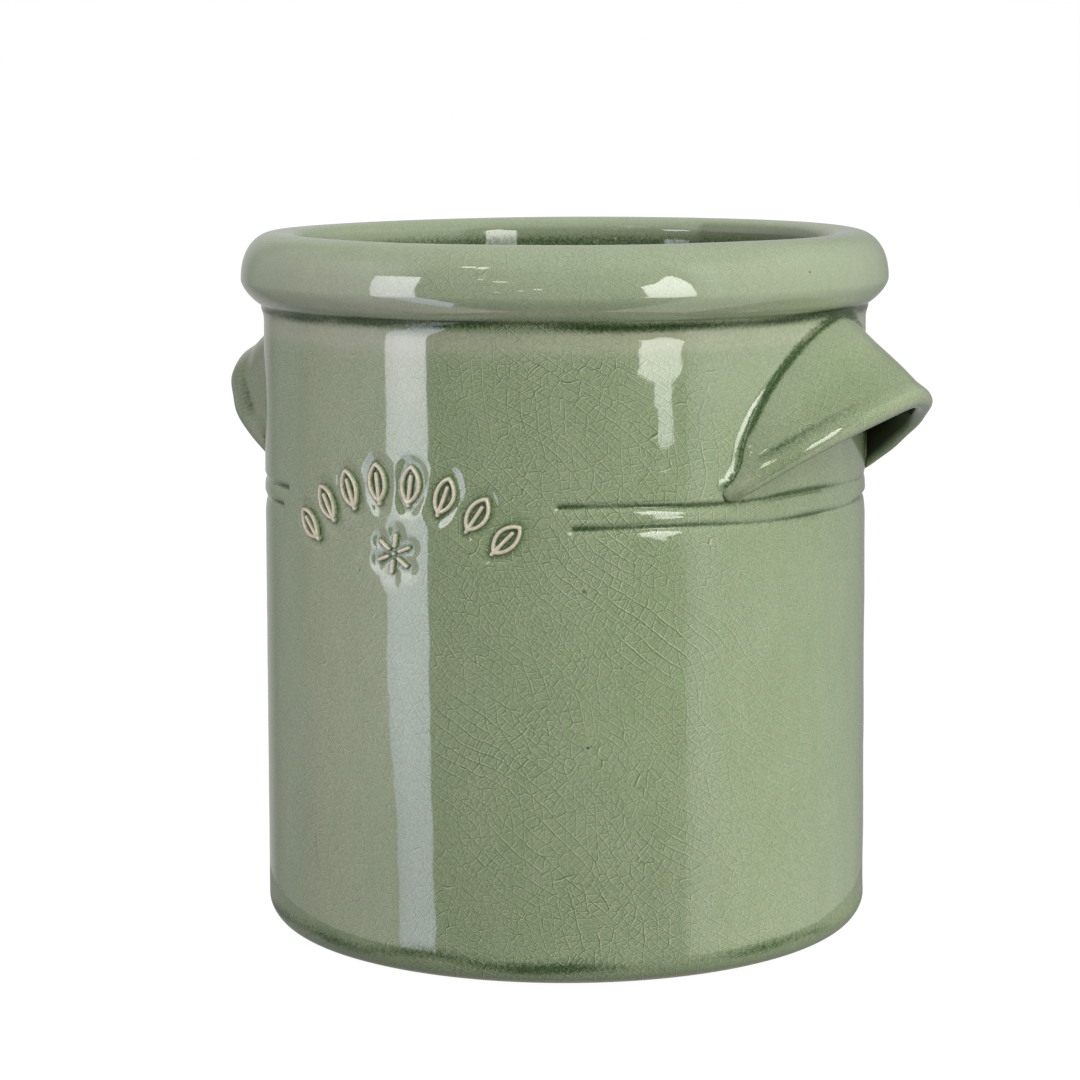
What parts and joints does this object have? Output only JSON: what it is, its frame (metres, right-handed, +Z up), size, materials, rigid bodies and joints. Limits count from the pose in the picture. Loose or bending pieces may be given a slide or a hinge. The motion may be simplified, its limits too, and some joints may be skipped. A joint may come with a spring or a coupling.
{
  "type": "fermenting crock",
  "caption": "Open straight-sided stoneware fermenting crock with a rolled rim, hood-shaped lug handles, incised rings, a leaf mark and half-moon weight stones inside.",
  "frame": {"origin": "centre of the foot, on the surface the crock stands on", "axes": "+Z up along the crock's axis; the leaf mark faces -Y; the right handle is at +X and the left handle at -X"},
  "size_m": [0.1872, 0.1566, 0.1686],
  "materials": {
    "celadon_glaze": "glossy crackled celadon glaze, pooled dark green in the creases",
    "relief_glaze": "glossy celadon glaze broken thin and pale over raised relief",
    "stone_glaze": "satin pale stoneware glaze"
  },
  "bodies": {
    "crock": {"crock_body": "celadon_glaze", "handle_right": "celadon_glaze", "handle_left": "celadon_glaze", "mark_garland": "relief_glaze", "mark_rosette": "relief_glaze"},
    "stone_right": {"weight_stone_right": "stone_glaze"},
    "stone_left": {"weight_stone_left": "stone_glaze"}
  },
  "joints": [
    {"name": "weight_lift_right", "type": "slide", "parent": "crock", "child": "stone_right", "axis": [0, 0, 1], "range_m": [0, 0.19]},
    {"name": "weight_lift_left", "type": "slide", "parent": "crock", "child": "stone_left", "axis": [0, 0, 1], "range_m": [0, 0.19]}
  ]
}
